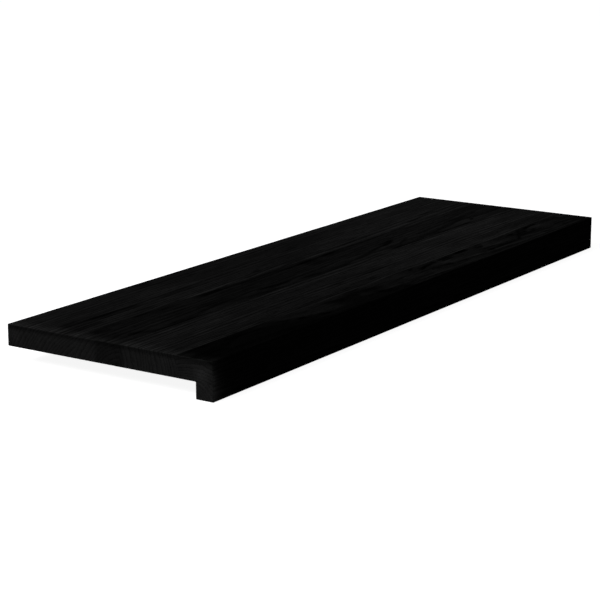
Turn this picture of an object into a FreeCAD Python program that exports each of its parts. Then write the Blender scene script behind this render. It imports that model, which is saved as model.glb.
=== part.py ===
import FreeCAD, Part
import os
import Sketcher

# Stair tread of edge-glued hardwood staves with a nosing strip glued under its front edge, made to
# cap an existing step. The pieces are glued up first, then the whole blank is moulded and its
# arrises are eased. X runs along the tread, +Y goes towards the riser above, +Z is up. The origin
# is on the ground, under the middle of the tread.

# Driving sizes, in millimetres
SIZES = [
    ("tread_length", "1000", "length along the nosing"),
    ("panel_thickness", "28", "thickness of the staves"),
    ("front_stave_width", "52", "stave over the nosing strip"),
    ("mid_front_stave_width", "84", "second stave from the front"),
    ("mid_rear_stave_width", "67", "third stave from the front"),
    ("rear_stave_width", "107", "stave against the riser"),
    ("strip_thickness", "25", "nosing strip, front to back"),
    ("strip_drop", "21", "nosing strip, below the staves"),
    ("arris_radius", "1", "easing of every outer arris"),
]

# The staves from front to rear: node name and the size that holds its width
STAVES = [
    ("stave_front", "front_stave_width"),
    ("stave_mid_front", "mid_front_stave_width"),
    ("stave_mid_rear", "mid_rear_stave_width"),
    ("stave_rear", "rear_stave_width"),
]

# Two points closer than this, in millimetres, are the same point
SAME_POINT = 0.001
# The glued pieces fill the moulded form to within this share of their volume
FILL_TOLERANCE = 1e-6
MM3_PER_DM3 = 1e6

# The ends of a sketched line, and the sketch's level axis, which starts at its origin
START, END = 1, 2
LEVEL_AXIS = -1


def cell(alias):
    return "Sizes." + alias


def total(aliases):
    return "(" + " + ".join(cell(alias) for alias in aliases) + ")"


TREAD_DEPTH = total(width for node, width in STAVES)
FRONT_EDGE = f"-{TREAD_DEPTH} / 2"


def fill_sheet(doc):
    sheet = doc.addObject("Spreadsheet::Sheet", "Sizes")
    for row, (alias, value, meaning) in enumerate(SIZES, start=1):
        sheet.set(f"A{row}", meaning)
        sheet.set(f"B{row}", value)
        sheet.setAlias(f"B{row}", alias)
    doc.recompute()
    return sheet


def plane_of(body, role):
    return next(feature for feature in body.Origin.OriginFeatures if feature.Role == role)


def add_outline(sketch, corners):
    # closed outline of upright and level lines through the corners, in order
    lines = []
    for start, end in zip(corners, corners[1:] + corners[:1]):
        line = Part.LineSegment(FreeCAD.Vector(*start, 0), FreeCAD.Vector(*end, 0))
        lines.append(sketch.addGeometry(line, False))
        level = start[1] == end[1]
        sketch.addConstraint(Sketcher.Constraint("Horizontal" if level else "Vertical", lines[-1]))
    for line, following in zip(lines, lines[1:] + lines[:1]):
        sketch.addConstraint(Sketcher.Constraint("Coincident", line, END, following, START))
    return lines


def add_size(sketch, name, constraint, expression):
    # a dimension of the outline, driven by the sheet
    sketch.renameConstraint(sketch.addConstraint(constraint), name)
    sketch.setExpression(f"Constraints.{name}", expression)


def section_sketch(body, sheet):
    # the L-shaped section of the finished tread, seen from the end: panel with the strip below it
    depth = sum(getattr(sheet, width) for node, width in STAVES)
    front = -depth / 2
    lip_back = front + sheet.strip_thickness
    top = sheet.strip_drop + sheet.panel_thickness
    sketch = body.newObject("Sketcher::SketchObject", "TreadSection")
    sketch.AttachmentSupport = [(plane_of(body, "YZ_Plane"), "")]
    sketch.MapMode = "FlatFace"
    foot, lip, underside, rear, face, nose = add_outline(sketch, [
        (front, 0),
        (lip_back, 0),
        (lip_back, sheet.strip_drop),
        (-front, sheet.strip_drop),
        (-front, top),
        (front, top),
    ])
    # the foot stands on the ground, and the panel reaches as far behind the origin as in front of it
    sketch.addConstraint(Sketcher.Constraint("PointOnObject", foot, START, LEVEL_AXIS))
    rear_of_origin = Sketcher.Constraint("DistanceX", LEVEL_AXIS, START, rear, START, depth / 2)
    add_size(sketch, "RearOfOrigin", rear_of_origin, f"{TREAD_DEPTH} / 2")
    driven = [
        ("TreadDepth", face, depth, TREAD_DEPTH),
        ("PanelThickness", rear, sheet.panel_thickness, cell("panel_thickness")),
        ("StripThickness", foot, sheet.strip_thickness, cell("strip_thickness")),
        ("StripDrop", lip, sheet.strip_drop, cell("strip_drop")),
    ]
    for name, line, value, expression in driven:
        add_size(sketch, name, Sketcher.Constraint("Distance", line, value), expression)
    return sketch


def outer_arrises(solid, sheet):
    # names of all edges but the inner corner, where the lip meets the underside of the panel
    inner_y = solid.BoundBox.YMin + sheet.strip_thickness
    inner_z = solid.BoundBox.ZMin + sheet.strip_drop
    names = []
    for number, edge in enumerate(solid.Edges, start=1):
        in_corner = [
            abs(vertex.Y - inner_y) < SAME_POINT and abs(vertex.Z - inner_z) < SAME_POINT
            for vertex in edge.Vertexes
        ]
        if not all(in_corner):
            names.append(f"Edge{number}")
    return names


def moulded_form(doc, sheet):
    # outside of the finished tread, with eased arrises
    body = doc.addObject("PartDesign::Body", "MouldedForm")
    pad = body.newObject("PartDesign::Pad", "FullLength")
    pad.Profile = section_sketch(body, sheet)
    pad.SideType = "Symmetric"
    pad.setExpression("Length", cell("tread_length"))
    doc.recompute()
    easing = body.newObject("PartDesign::Fillet", "EasedArrises")
    easing.Base = (pad, outer_arrises(pad.Shape, sheet))
    easing.setExpression("Radius", cell("arris_radius"))
    body.Tip = easing
    doc.recompute()
    return body


def glued_piece(doc, form, node, front, width, foot, height):
    # one stick of the blank, as long as the tread, cut to what the moulded form leaves of it
    stick = doc.addObject("Part::Box", node + "_stick")
    stick.setExpression("Length", cell("tread_length"))
    stick.setExpression("Width", width)
    stick.setExpression("Height", height)
    stick.setExpression("Placement.Base.x", f"-{cell('tread_length')} / 2")
    stick.setExpression("Placement.Base.y", front)
    stick.setExpression("Placement.Base.z", foot)
    piece = doc.addObject("Part::Common", node)
    piece.Label = node
    piece.Base = stick
    piece.Tool = form
    return piece


def glue_up(doc, form):
    pieces = [
        glued_piece(doc, form, "nosing_strip", FRONT_EDGE, cell("strip_thickness"), "0", cell("strip_drop")),
    ]
    in_front = []
    for node, width in STAVES:
        front = f"{FRONT_EDGE} + {total(in_front)}" if in_front else FRONT_EDGE
        pieces.append(
            glued_piece(doc, form, node, front, cell(width), cell("strip_drop"), cell("panel_thickness"))
        )
        in_front.append(width)
    doc.recompute()
    return pieces


def check_document(doc, form, pieces):
    for thing in doc.Objects:
        if "Invalid" in thing.State or "Error" in thing.State:
            raise RuntimeError(f"{thing.Label} failed: {thing.State}")
    for piece in pieces:
        if piece.Shape.isNull() or not piece.Shape.isValid() or len(piece.Shape.Solids) != 1:
            raise RuntimeError(f"{piece.Label} is not one sound solid")
    glued = sum(piece.Shape.Volume for piece in pieces)
    if abs(glued - form.Shape.Volume) > FILL_TOLERANCE * glued:
        raise RuntimeError("the pieces do not fill the moulded form")


def write_pieces(pieces):
    os.makedirs("parts", exist_ok=True)
    for piece in pieces:
        piece.Shape.exportStep(f"parts/{piece.Label}.step")
        box = piece.Shape.BoundBox
        print(f"{piece.Label}: {box.XLength:.1f} x {box.YLength:.1f} x {box.ZLength:.1f} mm,"
              f" {piece.Shape.Volume / MM3_PER_DM3:.4f} dm3")


doc = FreeCAD.newDocument("StairTread")
sheet = fill_sheet(doc)
form = moulded_form(doc, sheet)
pieces = glue_up(doc, form)
check_document(doc, form, pieces)
write_pieces(pieces)
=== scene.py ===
import itertools
import math
from dataclasses import dataclass

import bpy
import numpy as np
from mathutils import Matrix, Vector


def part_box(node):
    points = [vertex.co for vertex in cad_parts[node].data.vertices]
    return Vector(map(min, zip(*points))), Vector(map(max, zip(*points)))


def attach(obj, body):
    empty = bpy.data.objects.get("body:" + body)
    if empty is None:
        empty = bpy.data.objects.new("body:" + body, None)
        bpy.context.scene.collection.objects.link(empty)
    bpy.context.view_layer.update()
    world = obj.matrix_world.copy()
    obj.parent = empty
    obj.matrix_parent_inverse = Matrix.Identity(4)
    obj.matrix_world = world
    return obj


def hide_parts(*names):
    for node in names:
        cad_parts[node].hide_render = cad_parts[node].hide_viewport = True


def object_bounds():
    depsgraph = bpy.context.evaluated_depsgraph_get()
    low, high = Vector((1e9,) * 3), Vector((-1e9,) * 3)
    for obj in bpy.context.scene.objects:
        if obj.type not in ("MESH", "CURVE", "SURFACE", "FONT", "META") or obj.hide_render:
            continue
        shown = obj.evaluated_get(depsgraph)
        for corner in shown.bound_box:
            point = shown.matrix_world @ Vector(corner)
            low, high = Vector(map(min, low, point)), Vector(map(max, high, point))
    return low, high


# A stair tread glued up from four staves and a nosing strip, stained black and left dull. Places in
# its figure are given as a joiner would measure them: millimetres along from the near end, back from
# the front edge and down from the top. Tones are grey levels from 0, black, to 255, white.

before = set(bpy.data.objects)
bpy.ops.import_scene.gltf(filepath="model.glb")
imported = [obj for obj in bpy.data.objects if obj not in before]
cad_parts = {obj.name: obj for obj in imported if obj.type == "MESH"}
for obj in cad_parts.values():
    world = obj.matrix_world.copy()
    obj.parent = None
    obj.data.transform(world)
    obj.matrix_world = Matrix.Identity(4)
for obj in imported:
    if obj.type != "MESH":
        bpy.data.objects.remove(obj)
cad_low, cad_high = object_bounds()

MM = 0.001
LENGTH = (cad_high.x - cad_low.x) / MM
WHITE = 255.0


def as_measured(points):
    # millimetres along from the near end, back from the front edge and down from the top
    return points[:, 0] - cad_low.x / MM, points[:, 1] - cad_low.y / MM, cad_high.z / MM - points[:, 2]


def albedo(level):
    # share of light that a grey level stands for, by the standard curve of screens
    shade = np.asarray(level, float) / WHITE
    return np.where(shade <= 0.04045, shade / 12.92, ((shade + 0.055) / 1.055) ** 2.4)


def softened(part):
    # 0 to 1 with a soft start and a soft end
    return part * part * (3.0 - 2.0 * part)


def ramp(low, high, value):
    # 0 below low, 1 above high and smooth between them
    return softened(np.clip((value - low) / (high - low), 0.0, 1.0))


def between(rise, fall, value):
    # 0 before rise, 1 from its end to the start of fall, and 0 after fall
    return ramp(*rise, value) * (1.0 - ramp(*fall, value))


def around(place, reach):
    # both ends of a stretch round a place
    return place - reach, place + reach


# Numbers that scramble the place of a cell, so that neighbouring cells get unlike values
CELL_MIX = (73856093, 19349663, 83492791)
SEED_MIX = 2654435761
SCRAMBLE = ((13, 1274126177), (16, 668265263))
SCRAMBLED_BITS = 32
KEPT_BITS = 24


def scatter(cells, seed):
    # one fixed number from 0 to 1 for each whole-number cell
    mixed = np.bitwise_xor.reduce(cells * CELL_MIX, axis=1) ^ seed * SEED_MIX
    for shift, multiplier in SCRAMBLE:
        mixed = (mixed ^ (mixed >> shift)) * multiplier & ((1 << SCRAMBLED_BITS) - 1)
    return (mixed >> (SCRAMBLED_BITS - KEPT_BITS)) / float(1 << KEPT_BITS)


# Span of a direction in which a swell doesn't change
EVEN = 1e6


@dataclass
class Swell:
    """Smooth unevenness: how far it swings to both sides, how long its swells are in the three
    directions, in millimetres, and a number that sets it apart from the others."""

    swing: float
    spans: tuple
    seed: int

    def at(self, places, seed=0):
        scaled = places / np.asarray(self.spans, float)
        cells = np.floor(scaled).astype(np.int64)
        part = softened(scaled - cells)
        total = np.zeros(len(places))
        for corner in itertools.product((0, 1), repeat=3):
            share = np.prod(np.where(corner, part, 1.0 - part), axis=1)
            total += share * scatter(cells + corner, self.seed + seed)
        return self.swing * (total * 2.0 - 1.0)


@dataclass
class Stroke:
    # a darker or lighter stroke of the figure, as (along, back) at both ends, and its grey level
    start: tuple
    end: tuple
    half_width: float
    level: float
    fade: float = 20.0


@dataclass
class Board:
    node: str
    slot: str
    # outer sides, where the arrises are eased; the others are glued
    eased: tuple
    seed: int
    # middle of the tree behind and above the board's middle, and how it leans along the length
    pith_back: float
    pith_up: float
    lean_back: float
    lean_up: float
    ring_width: float
    # grey levels of the long faces at the stations along the board, and of the end grain
    tones: tuple
    end_grain: float
    # how strongly the years, and the flecks between them, show through the stain
    ring_contrast: float
    fleck_contrast: float
    # swing of the curly figure, in millimetres, and where along the board it shows
    curl: float = 0.0
    curl_between: tuple = (0.0, 1000.0)
    # whether the nosing strip is glued under its front, and whether dark heartwood runs into it
    over_strip: bool = False
    dark_heart: bool = False
    strokes: tuple = ()


# Places along the board, as shares of its length, where the tones are given
STATIONS = (0.0, 0.2, 0.4, 0.6, 0.8, 1.0)

BOARDS = [
    Board(
        node="stave_rear", slot="rear_board", eased=("-x", "+x", "+y", "-z", "+z"), seed=11,
        pith_back=-95.0, pith_up=-62.0, lean_back=0.022, lean_up=0.012, ring_width=4.6,
        tones=(15.8, 15.2, 15.0, 17.3, 21.6, 20.6), end_grain=19.6,
        ring_contrast=0.85, fleck_contrast=0.6,
        strokes=(
            Stroke((20, 241), (100, 237), 8.5, 5.6, fade=10),
            Stroke((26, 245), (62, 240), 9.0, 8.5, fade=10),
            Stroke((60, 238), (166, 236), 6.8, 6.2, fade=14),
            Stroke((192, 242), (282, 237), 5.2, 9.0, fade=14),
            Stroke((12, 222), (70, 220), 9.5, 9.5, fade=14),
            Stroke((140, 216), (175, 218), 5.0, 11.0, fade=15),
            Stroke((215, 209), (345, 208), 3.4, 22.0, fade=30),
            Stroke((470, 209), (700, 210), 3.2, 20.5, fade=45),
            Stroke((752, 213), (808, 214), 4.2, 26.0, fade=10),
            Stroke((590, 247), (632, 246), 6.5, 22.0, fade=12),
            Stroke((195, 258), (300, 255), 8.0, 18.5, fade=40),
            Stroke((230, 286), (420, 280), 14.0, 13.0, fade=50),
            Stroke((430, 278), (680, 274), 17.0, 13.4, fade=60),
            Stroke((700, 284), (780, 280), 14.0, 15.0, fade=40),
            Stroke((538, 262), (560, 264), 5.0, 10.5, fade=10),
            Stroke((805, 218), (845, 221), 4.0, 12.5, fade=14),
            Stroke((394, 221), (412, 220), 5.4, 8.5, fade=7),
            Stroke((455, 215), (515, 215), 3.8, 10.5, fade=10),
            Stroke((560, 222), (640, 221), 8.0, 19.5, fade=30),
            Stroke((866, 229), (905, 231), 5.0, 14.0, fade=12),
            Stroke((236, 300), (264, 299), 8.0, 7.5, fade=10),
            Stroke((620, 232), (780, 228), 12.0, 20.5, fade=60),
        ),
    ),
    Board(
        node="stave_mid_rear", slot="mid_rear_board", eased=("-x", "+x", "-z", "+z"), seed=23,
        pith_back=-38.0, pith_up=-58.0, lean_back=0.030, lean_up=0.016, ring_width=4.8,
        tones=(10.6, 11.0, 10.2, 13.8, 15.6, 14.3), end_grain=21.0,
        ring_contrast=0.5, fleck_contrast=0.8,
        strokes=(
            Stroke((110, 200), (146, 199), 3.2, 4.2, fade=8),
            Stroke((158, 197), (176, 197), 2.8, 6.0, fade=7),
            Stroke((238, 198), (306, 199), 4.4, 1.6, fade=12),
            Stroke((306, 196), (430, 197), 4.0, 5.5),
            Stroke((430, 194), (600, 196), 5.0, 6.2, fade=30),
            Stroke((470, 193), (510, 194), 6.4, 2.0, fade=10),
            Stroke((530, 198), (564, 198), 4.2, 1.6, fade=8),
            Stroke((600, 199), (700, 199), 3.0, 8.5),
            Stroke((470, 182), (512, 183), 7.0, 7.0, fade=12),
            Stroke((645, 186), (725, 184), 9.0, 14.8, fade=24),
            Stroke((125, 150), (175, 149), 6.0, 13.5, fade=16),
            Stroke((280, 148), (312, 149), 6.0, 12.5, fade=14),
            Stroke((70, 136), (186, 136), 3.0, 3.6, fade=14),
            Stroke((38, 156), (70, 142), 8.0, 4.4, fade=10),
            Stroke((20, 192), (46, 191), 6.0, 5.0, fade=8),
            Stroke((100, 176), (180, 175), 2.2, 7.5),
            Stroke((100, 157), (180, 156), 2.2, 8.0),
            Stroke((195, 168), (270, 152), 9.0, 7.2, fade=25),
            Stroke((318, 156), (380, 148), 3.2, 4.0, fade=9),
            Stroke((405, 146), (450, 142), 5.5, 5.5, fade=12),
            Stroke((300, 137), (600, 137), 2.4, 7.5, fade=30),
            Stroke((552, 146), (690, 176), 3.8, 8.0, fade=25),
            Stroke((638, 160), (682, 173), 4.0, 3.6, fade=8),
            Stroke((670, 150), (705, 160), 3.0, 7.0, fade=8),
            Stroke((615, 138), (710, 139), 3.0, 7.0, fade=20),
            Stroke((765, 140), (860, 138), 3.0, 8.5, fade=20),
            Stroke((850, 166), (898, 168), 5.5, 9.0, fade=14),
            Stroke((775, 138), (789, 138), 3.4, 5.0, fade=6),
            Stroke((844, 139), (857, 139), 3.4, 5.5, fade=6),
            Stroke((878, 148), (890, 150), 3.2, 4.5, fade=5),
        ),
    ),
    Board(
        node="stave_mid_front", slot="mid_front_board", eased=("-x", "+x", "-z", "+z"), seed=37,
        pith_back=120.0, pith_up=-26.0, lean_back=0.008, lean_up=0.004, ring_width=5.2,
        tones=(15.6, 15.1, 15.4, 19.6, 23.0, 20.6), end_grain=20.8,
        ring_contrast=0.95, fleck_contrast=0.8, curl=0.8, curl_between=(130.0, 480.0),
        strokes=(
            Stroke((-20, 55), (185, 54.5), 1.9, 20.5, fade=20),
            Stroke((8, 65), (120, 63), 3.0, 9.5),
            Stroke((60, 127), (190, 128), 2.6, 19.0, fade=20),
            Stroke((340, 126), (600, 125), 3.0, 19.0, fade=60),
            Stroke((700, 126), (760, 125), 4.0, 24.0, fade=20),
            Stroke((800, 121), (930, 118), 8.0, 25.0, fade=40),
            Stroke((150, 64), (430, 60), 6.0, 12.0, fade=60),
            Stroke((520, 102), (700, 90), 15.0, 21.5, fade=70),
            Stroke((760, 108), (880, 100), 14.0, 23.5, fade=30),
            Stroke((745, 70), (830, 68), 9.0, 16.5, fade=25),
            Stroke((835, 75), (975, 70), 12.0, 15.6, fade=30),
            Stroke((60, 112), (160, 110), 14.0, 17.2, fade=40),
            Stroke((10, 78), (150, 74), 12.0, 13.6, fade=30),
            Stroke((200, 76), (330, 74), 12.0, 15.4, fade=40),
            Stroke((220, 110), (380, 108), 12.0, 14.2, fade=40),
            Stroke((182, 98), (232, 97), 4.5, 12.0, fade=12),
            Stroke((226, 71), (238, 69), 3.5, 9.5, fade=6),
            Stroke((168, 58), (188, 58), 3.2, 9.5, fade=8),
            Stroke((396, 88), (412, 85), 4.5, 11.0, fade=8),
            Stroke((444, 66), (462, 67), 3.6, 10.0, fade=8),
            Stroke((468, 91), (514, 90), 5.2, 11.0, fade=10),
            Stroke((640, 62), (720, 60), 5.0, 21.0, fade=30),
        ),
    ),
    Board(
        node="stave_front", slot="front_board", eased=("-x", "+x", "-y", "-z", "+z"), seed=53,
        pith_back=10.0, pith_up=-70.0, lean_back=0.018, lean_up=0.020, ring_width=4.2,
        tones=(10.0, 11.4, 12.5, 13.8, 14.0, 13.0), end_grain=20.5,
        ring_contrast=0.6, fleck_contrast=0.9, over_strip=True, dark_heart=True,
        strokes=(
            Stroke((36, 45), (58, 45), 4.0, 0.5, fade=6),
            Stroke((70, 43), (162, 40), 3.6, 1.6, fade=10),
            Stroke((184, 38), (204, 33), 3.4, 1.5, fade=7),
            Stroke((214, 27), (234, 23), 4.2, 0.5, fade=7),
            Stroke((246, 17), (272, 12), 4.2, 0.5, fade=8),
            Stroke((300, 40), (336, 34), 6.5, 4.8, fade=14),
            Stroke((374, 40), (412, 38), 9.0, 3.6, fade=15),
            Stroke((388, 21), (404, 17), 4.6, 2.4, fade=7),
            Stroke((398, 12), (420, 5), 5.5, 3.2, fade=9),
            Stroke((434, 4), (452, 3), 3.2, 2.0, fade=8),
            Stroke((446, 21), (457, 19), 3.4, 7.0, fade=6),
            Stroke((472, 16), (532, 16), 3.6, 8.0, fade=8),
            Stroke((494, 40), (522, 42), 4.5, 10.0, fade=12),
            Stroke((518, 47), (530, 50), 2.6, 3.0, fade=5),
            Stroke((538, 40), (558, 43), 5.0, 0.5, fade=6),
            Stroke((556, 42), (574, 45), 3.8, 3.4, fade=6),
            Stroke((544, 34), (566, 34), 3.6, 8.0, fade=8),
            Stroke((553, 30), (563, 22), 4.0, 9.0, fade=5),
            Stroke((576, 45), (593, 47), 3.0, 4.5, fade=6),
            Stroke((579, 25), (596, 22), 2.8, 6.5, fade=6),
            Stroke((598, 47), (632, 46), 6.0, 1.6, fade=6),
            Stroke((632, 47), (644, 48), 3.4, 3.6, fade=5),
            Stroke((646, 49), (682, 49), 6.0, 0.5, fade=6),
            Stroke((676, 21), (696, 20), 3.0, 8.0, fade=6),
            Stroke((684, 8), (756, 8), 2.8, 8.0, fade=10),
            Stroke((697, 45), (706, 45), 2.6, 6.5, fade=4),
            Stroke((698, 19), (716, 20), 3.6, 0.8, fade=6),
            Stroke((716, 20), (784, 20), 3.2, 4.6, fade=10),
            Stroke((786, 18), (843, 49), 3.4, 5.5, fade=8),
            Stroke((802, 43), (820, 44), 4.2, 2.5, fade=6),
            Stroke((808, 29), (848, 28), 3.6, 7.0, fade=8),
            Stroke((841, 36), (850, 35), 3.8, 3.5, fade=5),
            Stroke((856, 47), (882, 50), 4.2, 0.5, fade=7),
            Stroke((882, 51), (905, 52), 3.4, 2.5, fade=7),
            Stroke((856, 33), (878, 36), 3.4, 5.0, fade=6),
            Stroke((856, 13), (870, 11), 3.8, 4.2, fade=7),
            Stroke((878, 16), (906, 20), 3.0, 8.5, fade=8),
            Stroke((927, 30), (942, 31), 4.2, 8.5, fade=8),
            Stroke((928, 15), (938, 15), 3.4, 5.5, fade=6),
            Stroke((470, 30), (530, 27), 5.0, 23.0, fade=14),
            Stroke((534, 26), (546, 24), 4.8, 23.0, fade=6),
            Stroke((588, 33), (607, 33), 4.6, 20.0, fade=8),
            Stroke((868, 42), (905, 42), 4.0, 18.0, fade=12),
            Stroke((640, 33), (770, 34), 7.0, 16.5, fade=40),
            Stroke((925, 40), (990, 43), 9.0, 19.0, fade=16),
        ),
    ),
    Board(
        node="nosing_strip", slot="nosing_wood", eased=("-x", "+x", "-y", "+y", "-z"), seed=71,
        pith_back=40.0, pith_up=-34.0, lean_back=0.008, lean_up=0.010, ring_width=3.6,
        tones=(6.5, 6.0, 6.5, 7.0, 7.0, 6.5), end_grain=24.5,
        ring_contrast=0.8, fleck_contrast=0.7,
    ),
]


# Easing of the outer arrises, and how finely the faces are ruled, in millimetres
ARRIS = 1.0
ARRIS_STEPS = (0.0, 0.35, 0.7, 1.0)
ALONG_STEP = 4.0
ACROSS_STEP = 0.8
UP_STEP = 1.4
# Where the back of the nosing strip meets the front stave
STRIP_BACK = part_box("nosing_strip")[1].y / MM
# Places closer than this are the same, and a direction shorter than this is none
SAME_PLACE = 1e-6
NO_LENGTH = 1e-12
# Faces that meet at more than this angle, in degrees, are shaded apart
SHARP_TURN = 50.0


def ruling(low, high, step, ease_low, ease_high):
    # coordinates from low to high, closer together over an eased arris
    edge = np.array(ARRIS_STEPS) * ARRIS
    first = low + edge if ease_low else np.array([low])
    last = high - edge[::-1] if ease_high else np.array([high])
    count = max(1, round((last[0] - first[-1]) / step))
    inner = np.linspace(first[-1], last[0], count + 1)[1:-1]
    return np.concatenate([first, inner, last])


def side_quads(corner_numbers, outward):
    # four-sided faces between neighbouring points of one side of a block
    a, b = corner_numbers[:-1, :-1], corner_numbers[1:, :-1]
    c, d = corner_numbers[1:, 1:], corner_numbers[:-1, 1:]
    turn = (a, b, c, d) if outward else (d, c, b, a)
    return np.stack([part.ravel() for part in turn], axis=1)


def ruled_block(xs, ys, zs):
    # points and four-sided faces of a closed block ruled by the three lists of coordinates
    numbers = np.full((len(xs), len(ys), len(zs)), -1, np.int64)
    skin = np.zeros(numbers.shape, bool)
    for axis in range(3):
        for side in (0, -1):
            skin[tuple(side if k == axis else slice(None) for k in range(3))] = True
    numbers[skin] = np.arange(skin.sum())
    at = np.argwhere(skin)
    points = np.stack([xs[at[:, 0]], ys[at[:, 1]], zs[at[:, 2]]], axis=1)
    quads = np.concatenate([
        side_quads(numbers[0], False), side_quads(numbers[-1], True),
        side_quads(numbers[:, 0], True), side_quads(numbers[:, -1], False),
        side_quads(numbers[:, :, 0], False), side_quads(numbers[:, :, -1], True),
    ])
    return points, quads


def ease_arrises(board, points, low, high):
    """Rounds the eased edges. Returns the points, their outward directions, and which of them lie
    on the outside of the tread."""
    reach = np.zeros((len(points), 3))
    for axis, letter in enumerate("xyz"):
        if "-" + letter in board.eased:
            inset = np.full(len(points), ARRIS)
            if board.over_strip and letter == "z":
                # nothing is eased where the strip is glued on
                inset[points[:, 1] < STRIP_BACK + SAME_PLACE] = 0.0
            reach[:, axis] += np.minimum(0.0, points[:, axis] - (low[axis] + inset))
        if "+" + letter in board.eased:
            reach[:, axis] += np.maximum(0.0, points[:, axis] - (high[axis] - ARRIS))
    longest = np.abs(reach).max(axis=1)
    length = np.maximum(np.linalg.norm(reach, axis=1), NO_LENGTH)
    rounded = points - reach + reach * (longest / length)[:, None]
    outward = reach / length[:, None]
    outside = longest > ARRIS - SAME_PLACE
    return rounded, outward, outside


# How far the years bend from true rings round the middle of the tree, from slow bends to quick ones
YEAR_BENDS = (
    Swell(5.0, (260.0, 46.0, 60.0), 0),
    Swell(1.3, (90.0, 14.0, 22.0), 1),
    Swell(0.6, (46.0, 5.0, 7.0), 2),
)
CURL = Swell(1.0, (13.0, 18.0, 18.0), 10)
CURL_FADE = 60.0
# Wide and narrow years follow each other: by how many years they shift, and how fast they change
YEARS_SHIFT = 0.4
YEARS_RHYTHM = 0.9


def growth(board, points, low, high):
    # years of growth at each point, counted from the middle of the tree
    middle = (low + high) / 2.0
    along = points[:, 0] - middle[0]
    back = points[:, 1] - middle[1] - board.pith_back - board.lean_back * along
    up = points[:, 2] - middle[2] - board.pith_up - board.lean_up * along
    radius = np.hypot(back, up)
    for bend in YEAR_BENDS:
        radius += bend.at(points, board.seed)
    start, end = board.curl_between
    curly = between(around(start, CURL_FADE), around(end, CURL_FADE), points[:, 0] - low[0])
    radius += board.curl * curly * CURL.at(points, board.seed)
    years = radius / board.ring_width
    return years + YEARS_SHIFT * np.sin(years * YEARS_RHYTHM + board.seed)


# Lighter and darker patches and streaks of the long faces, as shares of their tone
TONE_PATCHES = Swell(0.09, (120.0, 16.0, 30.0), 3)
TONE_STREAKS = Swell(0.08, (45.0, 5.0, 9.0), 4)
# The strokes wander, and end in fine points along the grain, not in a soft edge
STROKE_BEND = Swell(1.2, (60.0, EVEN, EVEN), 20)
STROKE_FEATHER = Swell(0.5, (52.0, 2.4, 6.0), 12)
STROKE_POINTS = Swell(0.9, (60.0, 1.8, 5.0), 13)
# Width of a stroke at its ends, as a share of the width in its middle, and how sharp its sides are
STROKE_END_WIDTH = 0.35
STROKE_SHARPNESS = 3
# The strokes run askew through the board: how far they move back for each millimetre of depth
STROKE_LEAN = 0.4


def figure_level(board, along, back, down):
    # grey level of the stained wood on the long faces
    points = np.stack([along, back, down], axis=1)
    level = np.interp(along / LENGTH, STATIONS, board.tones)
    level *= 1.0 + TONE_PATCHES.at(points, board.seed)
    level *= 1.0 + TONE_STREAKS.at(points, board.seed)
    feather = STROKE_FEATHER.at(points, board.seed)
    tips = STROKE_POINTS.at(points, board.seed)
    for number, stroke in enumerate(board.strokes):
        (start, start_back), (end, end_back) = stroke.start, stroke.end
        share = (along - start) / (end - start)
        line = start_back + (end_back - start_back) * share
        line += STROKE_BEND.at(points, board.seed + number)
        line += STROKE_LEAN * down + feather * stroke.half_width
        reach = along + stroke.fade * tips
        strength = between(around(start, stroke.fade), around(end, stroke.fade), reach)
        half_width = stroke.half_width * (STROKE_END_WIDTH + (1.0 - STROKE_END_WIDTH) * strength)
        mask = strength * np.exp(-np.abs((back - line) / half_width) ** STROKE_SHARPNESS)
        level += (stroke.level - level) * mask
    return level


# Grey level of the near-black heartwood in the front stave
HEART_LEVEL = 3.2
# A point that its edge crosses, and how much further along it runs for each millimetre nearer the front
HEART_ALONG = 190.0
HEART_BACK = 44.0
HEART_SLOPE = 2.7
HEART_BEND = Swell(5.0, (60.0, 9.0, EVEN), 91)
HEART_RAGGED = Swell(9.0, (48.0, 2.4, 6.0), 93)
# By which share it grows thinner, from and to how many millimetres before its edge, and within how
# many millimetres of the edge it ends
HEART_THINNED = 0.3
HEART_THINS = (60.0, 20.0)
HEART_ENDS = 8.0
# A veil of it shows again further along, and a tail of it follows the front edge. Places in pairs are
# where each of them starts to come in or fade, and where that is done
VEIL_STRENGTH = 0.6
VEIL_STARTS = (285.0, 325.0)
VEIL_ENDS = (398.0, 438.0)
VEIL_BACK = (36.0, 50.0)
VEIL_BEND = Swell(4.0, (50.0, 8.0, EVEN), 92)
TAIL_STRENGTH = 0.8
TAIL_ENDS = (415.0, 475.0)
TAIL_BACK = (10.0, 22.0)


def heartwood(along, back, down):
    # how much of the heart shows at each point
    points = np.stack([along, back, down], axis=1)
    back = back - STROKE_LEAN * down
    edge = HEART_ALONG + HEART_SLOPE * (HEART_BACK - back) + HEART_BEND.at(points)
    ragged = along - HEART_RAGGED.at(points)
    thins, thinned = HEART_THINS
    arch = 1.0 - HEART_THINNED * ramp(edge - thins, edge - thinned, ragged)
    arch *= 1.0 - ramp(*around(edge, HEART_ENDS), ragged)
    veil = between(VEIL_STARTS, VEIL_ENDS, ragged)
    veil *= 1.0 - ramp(*VEIL_BACK, back + VEIL_BEND.at(points))
    tail = (1.0 - ramp(*TAIL_ENDS, ragged)) * (1.0 - ramp(*TAIL_BACK, back))
    return np.maximum.reduce([arch, VEIL_STRENGTH * veil, TAIL_STRENGTH * tail])


@dataclass
class LighterSpot:
    # a lighter place in the end grain, how far that spreads, and its level
    back: float
    down: float
    back_reach: float
    down_reach: float
    level: float


END_STRIPES = Swell(0.06, (EVEN, 12.0, 40.0), 5)
# The dark block in the end grain: its grey level, and where it comes in and fades behind the front edge
DARK_BLOCK_LEVEL = 14.0
DARK_BLOCK_STARTS = (127.0, 134.0)
DARK_BLOCK_ENDS = (168.0, 176.0)
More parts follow.
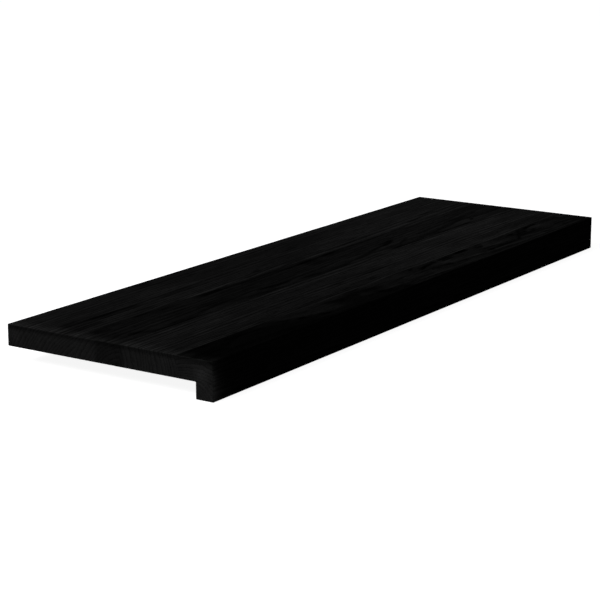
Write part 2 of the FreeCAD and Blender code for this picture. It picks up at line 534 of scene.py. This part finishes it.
# A painted highlight on the end of the nosing, and a lighter patch near the rear corner
END_HIGHLIGHT_AND_SPOT = (
    LighterSpot(back=16.0, down=18.0, back_reach=12.0, down_reach=11.0, level=30.5),
    LighterSpot(back=297.0, down=15.0, back_reach=7.0, down_reach=8.0, level=24.0),
)
# Painted shade: share of the tone that is lost just below the top arris
END_TOP_SHADE_DARKER = 0.35
END_TOP_SHADE_STARTS = (0.0, 1.5)
END_TOP_SHADE_ENDS = (2.5, 8.0)
# Painted shade: share that is lost in the upper front corner of the end
CORNER_SHADE_DARKER = 0.4
CORNER_SHADE_BACK = 7.0
CORNER_SHADE_DOWN = (3.0, 13.0)


def end_level(board, back, down):
    # grey level of the end grain, with painted highlight and painted shade
    points = np.stack([back, back, down], axis=1)
    level = board.end_grain * (1.0 + END_STRIPES.at(points, board.seed))
    level += (DARK_BLOCK_LEVEL - level) * between(DARK_BLOCK_STARTS, DARK_BLOCK_ENDS, back)
    # lighter places: the painted highlight on the nosing and the lighter patch near the rear corner
    for spot in END_HIGHLIGHT_AND_SPOT:
        apart = ((back - spot.back) / spot.back_reach) ** 2 + ((down - spot.down) / spot.down_reach) ** 2
        level += (spot.level - level) * np.exp(-apart)
    # painted shade just below the top arris of the end
    line = between(END_TOP_SHADE_STARTS, END_TOP_SHADE_ENDS, down)
    # painted shade in the upper front corner of the end
    corner = np.exp(-back / CORNER_SHADE_BACK) * (1.0 - ramp(*CORNER_SHADE_DOWN, down))
    return level * (1.0 - END_TOP_SHADE_DARKER * line) * (1.0 - CORNER_SHADE_DARKER * corner)


# How far a face has to turn to count as an end, as the top or as the front
END_TURN = (0.4, 0.9)
TOP_TURN = (0.0, 0.7)
FRONT_TURN = (0.5, 0.95)
# Stain gathers along the glue lines: over how many millimetres, and how much darker it gets there
GLUE_REACH = 0.7
GLUE_DARKER = 0.3
FAR_FROM_GLUE = 1e3
# A painted highlight lies along the top arris of the near end: how many levels lighter it is at these
# millimetres back from the front edge, and over which stretch that fades
ARRIS_HIGHLIGHT_BACK = (45.0, 60.0, 85.0, 110.0, 150.0, 185.0, 200.0, 215.0, 235.0, 260.0, 290.0)
ARRIS_HIGHLIGHT_LIFT = (5.0, 5.0, 5.5, 8.0, 7.0, 10.0, 8.0, 3.0, 4.0, 6.5, 9.0)
ARRIS_HIGHLIGHT_FADES = (3.0, 26.0)
ARRIS_HIGHLIGHT_EDGE = Swell(4.0, (EVEN, 9.0, EVEN), 8)
ARRIS_HIGHLIGHT_PATCHES = Swell(0.3, (EVEN, 22.0, EVEN), 9)
# The front face is stained nearly black, with a painted highlight beside the near corner, where light
# wraps round from the end. The highlight fades along the face within a reach that widens lower down, and
# is weaker near the top
FRONT_LEVEL = 5.5
FRONT_HIGHLIGHT = 40.0
FRONT_HIGHLIGHT_REACH = 8.0
FRONT_HIGHLIGHT_WIDER = 6.0
FRONT_HIGHLIGHT_WIDENS = (14.0, 40.0)
FRONT_HIGHLIGHT_AT_TOP = 0.32
FRONT_HIGHLIGHT_BELOW = 0.68
FRONT_HIGHLIGHT_GROWS = (0.0, 22.0)
# Darkest and lightest grey level that the stain takes
LEVELS = (0.5, 60.0)


def front_facing(outward):
    return ramp(*FRONT_TURN, -outward[:, 1])


def front_face_level(along, down):
    # grey level of the front face, with the painted highlight beside the near corner
    reach = FRONT_HIGHLIGHT_REACH + FRONT_HIGHLIGHT_WIDER * ramp(*FRONT_HIGHLIGHT_WIDENS, down)
    corner_highlight = FRONT_HIGHLIGHT * np.exp(-along / reach)
    corner_highlight *= FRONT_HIGHLIGHT_AT_TOP + FRONT_HIGHLIGHT_BELOW * ramp(*FRONT_HIGHLIGHT_GROWS, down)
    return FRONT_LEVEL + corner_highlight


def shade_of(board, points, outward, ends, heart, low, high):
    # share of light that the stained wood gives back at each point
    along, back, down = as_measured(points)
    level = figure_level(board, along, back, down)
    level += (np.minimum(level, HEART_LEVEL) - level) * heart
    glue = np.full(len(points), FAR_FROM_GLUE)
    if "-y" not in board.eased:
        glue = np.minimum(glue, points[:, 1] - low[1])
    if "+y" not in board.eased:
        glue = np.minimum(glue, high[1] - points[:, 1])
    level *= 1.0 - GLUE_DARKER * np.exp(-(glue / GLUE_REACH) ** 2)
    # painted highlight along the top arris of the near end
    arris_highlight = 1.0 - ramp(*ARRIS_HIGHLIGHT_FADES, along + ARRIS_HIGHLIGHT_EDGE.at(points, board.seed))
    arris_highlight *= ramp(*TOP_TURN, outward[:, 2])
    arris_highlight *= 1.0 + ARRIS_HIGHLIGHT_PATCHES.at(points, board.seed)
    level += np.interp(back, ARRIS_HIGHLIGHT_BACK, ARRIS_HIGHLIGHT_LIFT) * arris_highlight
    level += (front_face_level(along, down) - level) * front_facing(outward)
    level += (end_level(board, back, down) - level) * ends
    return albedo(np.clip(level, *LEVELS))


# Share of the figure that the stain hides: end grain drinks more of it, and heartwood is dark
COVER_ENDS = 0.82
COVER_CORNER = 0.8
COVER_HEART = 0.7
COVER_ALONG = 30.0


def stain_cover(points, outward, ends, heart):
    along = as_measured(points)[0]
    corner = front_facing(outward) * np.exp(-along / COVER_ALONG)
    return np.maximum.reduce([COVER_ENDS * ends, COVER_CORNER * corner, COVER_HEART * heart])


# Depth of the brushed grain in millimetres: of the soft rows, which come at these shares of a year,
# of the fibres and of the waves that planing left
SOFT_DEPTH = 0.10
SOFT_STARTS = (0.0, 0.08)
SOFT_ENDS = (0.12, 0.6)
FIBRE_DEPTH = 0.05
FIBRE_SWELL = Swell(0.5, (28.0, 1.1, 1.1), 6)
PLANED_DEPTH = 0.03
PLANED_SWELL = Swell(0.5, (220.0, 60.0, 60.0), 7)


def relief(board, points, years):
    # depth of the brushed grain below the planed face, in millimetres
    soft = between(SOFT_STARTS, SOFT_ENDS, years - np.floor(years))
    fibres = 0.5 + FIBRE_SWELL.at(points, board.seed)
    planed = 0.5 + PLANED_SWELL.at(points, board.seed)
    return SOFT_DEPTH * soft + FIBRE_DEPTH * fibres + PLANED_DEPTH * planed


def build_board(board):
    low, high = (np.array(corner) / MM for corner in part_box(board.node))
    steps = (ALONG_STEP, ACROSS_STEP, UP_STEP)
    rulings = [
        ruling(low[k], high[k], steps[k], "-" + letter in board.eased, "+" + letter in board.eased)
        for k, letter in enumerate("xyz")
    ]
    if board.over_strip:
        rulings[1] = np.unique(np.append(rulings[1], STRIP_BACK))
    points, quads = ruled_block(*rulings)
    points, outward, outside = ease_arrises(board, points, low, high)
    years = growth(board, points, low, high)
    ends = ramp(*END_TURN, np.abs(outward[:, 0]))
    heart = heartwood(*as_measured(points)) if board.dark_heart else np.zeros(len(points))
    shade = shade_of(board, points, outward, ends, heart, low, high)
    cover = stain_cover(points, outward, ends, heart)
    depth = np.where(outside, relief(board, points, years), 0.0)
    points = points - outward * depth[:, None]
    mesh = bpy.data.meshes.new(board.node + "_wood")
    mesh.from_pydata((points * MM).tolist(), [], quads.tolist())
    for name, values in (("years", years), ("shade", shade), ("cover", cover)):
        mesh.attributes.new(name, "FLOAT", "POINT").data.foreach_set("value", values.astype(np.float32))
    mesh.shade_smooth()
    mesh.set_sharp_from_angle(angle=math.radians(SHARP_TURN))
    piece = bpy.data.objects.new(board.node + "_wood", mesh)
    bpy.context.scene.collection.objects.link(piece)
    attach(piece, "root")
    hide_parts(board.node)
    return piece


class Wire:
    """One output of a node, which can stand in a sum or a product."""

    def __init__(self, finish, socket):
        self.finish = finish
        self.socket = socket

    def _math(self, operation, first, second):
        return self.finish.node("ShaderNodeMath", {"operation": operation}, {0: first, 1: second})

    def __add__(self, other):
        return self._math("ADD", self, other)

    def __radd__(self, other):
        return self._math("ADD", other, self)

    def __sub__(self, other):
        return self._math("SUBTRACT", self, other)

    def __rsub__(self, other):
        return self._math("SUBTRACT", other, self)

    def __mul__(self, other):
        return self._math("MULTIPLY", self, other)

    def __rmul__(self, other):
        return self._math("MULTIPLY", other, self)


class Finish:
    """The nodes of one material, or of the studio around it, written as expressions."""

    def __init__(self, owner):
        owner.use_nodes = True
        self.tree = owner.node_tree
        self.tree.nodes.clear()

    def node(self, kind, settings, sockets, output=0):
        made = self.tree.nodes.new(kind)
        for name, value in settings.items():
            setattr(made, name, value)
        for name, value in sockets.items():
            socket = made.inputs[name]
            if isinstance(value, Wire):
                self.tree.links.new(value.socket, socket)
            else:
                socket.default_value = value
        return Wire(self, made.outputs[output]) if made.outputs else None

    def measured(self, name):
        # a value that the points of the board carry under that name
        return self.node("ShaderNodeAttribute", {"attribute_name": name}, {}, "Fac")

    def ramp(self, low, high, value):
        settings = {"interpolation_type": "SMOOTHSTEP"}
        sockets = {"Value": value, "From Min": low, "From Max": high}
        return self.node("ShaderNodeMapRange", settings, sockets)

    def noise(self, place, grain, detail=2.0, roughness=0.5):
        # uneven pattern whose grains are that long along, back and up, in millimetres
        scale = tuple(1.0 / (size * MM) for size in grain)
        stretched = self.node("ShaderNodeVectorMath", {"operation": "MULTIPLY"}, {0: place, 1: scale})
        sockets = {"Vector": stretched, "Scale": 1.0, "Detail": detail, "Roughness": roughness}
        return self.node("ShaderNodeTexNoise", {"noise_dimensions": "3D"}, sockets)

    def shown(self):
        # 1 for the rays that show the background: the camera's, and those in gloss and glass
        camera, glossy, through = (
            self.node("ShaderNodeLightPath", {}, {}, name)
            for name in ("Is Camera Ray", "Is Glossy Ray", "Is Transmission Ray")
        )
        either = self.node("ShaderNodeMath", {"operation": "MAXIMUM"}, {0: camera, 1: glossy})
        return self.node("ShaderNodeMath", {"operation": "MAXIMUM"}, {0: either, 1: through})


# Each year starts with a row of open pores and ends in dense, smooth latewood, at these shares of it
PORES_OPEN = (0.0, 0.06)
PORES_CLOSE = (0.10, 0.55)
LATEWOOD_GROWS = (0.55, 0.95)
LATEWOOD_LIGHTER = 0.42
POROUS_DARKER = 0.34
# The stain takes unevenly, so the rows come and go along the board, from faint to strong
PATCH_GRAIN = (75.0, 7.0, 7.0)
PATCH_EDGE = (0.32, 0.68)
TAKEN_LEAST = 0.35
TAKEN_MORE = 1.3
# Pores are short open lines along the grain, many in the porous rows and few in the latewood
PORE_GRAIN = (13.0, 0.5, 0.5)
PORE_EDGE = (0.57, 0.68)
PORES_IN_ROWS = 0.13
PORES_LOST_LATE = 0.06
PORE_DARKER = 0.6
# Fibres, clouds and flecks lighten and darken the wood: their grain and how much they change the tone
FIBRE_GRAIN = (60.0, 0.7, 0.7)
FIBRE_TONE = 0.7
CLOUD_GRAIN = (70.0, 9.0, 9.0)
CLOUD_TONE = 0.5
FLECK_GRAIN = (46.0, 2.2, 2.2)
FLECK_TONE = 2.2
# How rough the finest detail of the fibres and flecks is
FINE_DETAIL = 0.6
# Pores darken the surface as a whole, which this makes up for
TONE_LIFT = 1.05
# Depth of the finest grain: shares of the pores, the porous rows and the fibres, and millimetres
BUMP_PORES = 0.6
BUMP_ROWS = 0.25
BUMP_FIBRES = 0.35
BUMP_DEPTH = 0.12
BUMP_STRENGTH = 0.6
# The surface is dull, more so in the pores and less so in the latewood
DULLNESS = 0.72
DULLER_PORES = 0.16
BRIGHTER_LATEWOOD = 0.08


def stained_wood(board):
    stain = bpy.data.materials.new(board.slot + "_black_stain")
    finish = Finish(stain)
    place = finish.node("ShaderNodeTexCoord", {}, {}, "Object")
    season = finish.node("ShaderNodeMath", {"operation": "FRACT"}, {0: finish.measured("years")})
    porous = finish.ramp(*PORES_OPEN, season) * (1.0 - finish.ramp(*PORES_CLOSE, season))
    latewood = finish.ramp(*LATEWOOD_GROWS, season)
    calm = 1.0 - finish.measured("cover")
    patches = finish.noise(place, PATCH_GRAIN, detail=1.0)
    taken = TAKEN_LEAST + TAKEN_MORE * finish.ramp(*PATCH_EDGE, patches)
    rings = (LATEWOOD_LIGHTER * latewood - POROUS_DARKER * porous) * taken * board.ring_contrast * calm

    fine_pores = finish.noise(place, PORE_GRAIN, detail=1.0)
    pores = finish.ramp(*PORE_EDGE, fine_pores + PORES_IN_ROWS * porous - PORES_LOST_LATE * latewood)
    fibres = finish.noise(place, FIBRE_GRAIN, roughness=FINE_DETAIL)
    flecks = finish.noise(place, FLECK_GRAIN, roughness=FINE_DETAIL)
    cloud = finish.noise(place, CLOUD_GRAIN)

    tone = finish.measured("shade") * (TONE_LIFT + rings) * (1.0 - PORE_DARKER * pores)
    tone = tone * (1.0 - FIBRE_TONE / 2.0 + FIBRE_TONE * fibres)
    tone = tone * (1.0 - CLOUD_TONE / 2.0 + CLOUD_TONE * cloud)
    tone = tone * (1.0 + FLECK_TONE * board.fleck_contrast * (flecks - 0.5) * calm)
    depth = BUMP_PORES * pores + BUMP_ROWS * porous + BUMP_FIBRES * fibres
    normal = finish.node(
        "ShaderNodeBump", {"invert": True},
        {"Strength": BUMP_STRENGTH, "Distance": BUMP_DEPTH * MM, "Height": depth},
    )
    wood = finish.node("ShaderNodeBsdfPrincipled", {}, {
        "Base Color": finish.node("ShaderNodeCombineColor", {}, {"Red": tone, "Green": tone, "Blue": tone}),
        "Roughness": DULLNESS + DULLER_PORES * pores - BRIGHTER_LATEWOOD * latewood,
        "Specular IOR Level": 0.0,
        "Normal": normal,
    })
    finish.node("ShaderNodeOutputMaterial", {}, {"Surface": wood})
    return stain


# The camera sees a pale floor that glows and takes the shadow, while the tread gets only a dim glow
# from it. It lies a little lower than the foot of the nosing, in millimetres, and is square, in metres
FLOOR_GLOW = 0.90
FLOOR_PALE = 0.34
FLOOR_DIM = 0.22
FLOOR_SIZE = 40.0
FLOOR_BELOW = 0.2


def lay_floor():
    pale_floor = bpy.data.materials.new("pale_floor")
    finish = Finish(pale_floor)
    glow = finish.node("ShaderNodeEmission", {}, {"Strength": FLOOR_GLOW})
    pale = finish.node("ShaderNodeBsdfDiffuse", {}, {"Color": (FLOOR_PALE, FLOOR_PALE, FLOOR_PALE, 1.0)})
    dim = finish.node("ShaderNodeEmission", {}, {"Strength": FLOOR_DIM})
    shown = finish.node("ShaderNodeAddShader", {}, {0: glow, 1: pale})
    surface = finish.node("ShaderNodeMixShader", {}, {0: finish.shown(), 1: dim, 2: shown})
    # from below, the floor lets the underside of the tread be seen
    below = finish.node("ShaderNodeNewGeometry", {}, {}, "Backfacing")
    clear = finish.node("ShaderNodeBsdfTransparent", {}, {})
    surface = finish.node("ShaderNodeMixShader", {}, {0: below, 1: surface, 2: clear})
    finish.node("ShaderNodeOutputMaterial", {}, {"Surface": surface})
    half = FLOOR_SIZE / 2.0
    mesh = bpy.data.meshes.new("floor")
    corners = [(-half, -half, 0.0), (half, -half, 0.0), (half, half, 0.0), (-half, half, 0.0)]
    mesh.from_pydata(corners, [], [(0, 1, 2, 3)])
    mesh.materials.append(pale_floor)
    floor = bpy.data.objects.new("floor", mesh)
    floor.location.z = -FLOOR_BELOW * MM
    bpy.context.scene.collection.objects.link(floor)


# Strength of the white surroundings as a light; as a background they are full white
WORLD_SOFT = 0.30


def light_world():
    world = bpy.data.worlds.new("studio")
    bpy.context.scene.world = world
    finish = Finish(world)
    strength = WORLD_SOFT + (1.0 - WORLD_SOFT) * finish.shown()
    white = {"Color": (1.0, 1.0, 1.0, 1.0), "Strength": strength}
    background = finish.node("ShaderNodeBackground", {}, white)
    finish.node("ShaderNodeOutputWorld", {}, {"Surface": background})


# One large soft lamp, high over the near end and the rear, in metres and watts
LAMP_PLACE = (-2.2, 1.0, 2.2)
LAMP_AIM = (0.0, 0.0, 0.0)
LAMP_SIZE = 1.8
LAMP_POWER = 108.0


def hang_lamp():
    lamp = bpy.data.lights.new("key", "AREA")
    lamp.shape = "SQUARE"
    lamp.size = LAMP_SIZE
    lamp.energy = LAMP_POWER
    hung = bpy.data.objects.new("key", lamp)
    hung.location = LAMP_PLACE
    hung.rotation_mode = "QUATERNION"
    hung.rotation_quaternion = (Vector(LAMP_AIM) - Vector(LAMP_PLACE)).to_track_quat("-Z", "Y")
    bpy.context.scene.collection.objects.link(hung)


# Camera, fitted to the outline of the tread in the photograph: degrees, metres, and millimetres of lens
VIEW_AZIMUTH = -56.41
VIEW_ELEVATION = 13.81
VIEW_DISTANCE = 2.5708
VIEW_AIM = (-0.0885, 0.0, 0.0154)
LENS = 113.91
SENSOR = 36.0


def set_camera():
    azimuth = math.radians(VIEW_AZIMUTH)
    elevation = math.radians(VIEW_ELEVATION)
    back = Vector((
        math.sin(azimuth) * math.cos(elevation),
        -math.cos(azimuth) * math.cos(elevation),
        math.sin(elevation),
    ))
    view = bpy.data.cameras.new("view")
    view.lens = LENS
    view.sensor_width = SENSOR
    camera = bpy.data.objects.new("view", view)
    camera.location = Vector(VIEW_AIM) + back * VIEW_DISTANCE
    camera.rotation_mode = "QUATERNION"
    camera.rotation_quaternion = (-back).to_track_quat("-Z", "Y")
    bpy.context.scene.collection.objects.link(camera)
    bpy.context.scene.camera = camera


set_camera()
lay_floor()
light_world()
hang_lamp()
for board in BOARDS:
    piece = build_board(board)
    piece.data.materials.append(stained_wood(board))

bpy.context.scene.view_settings.view_transform = "Standard"
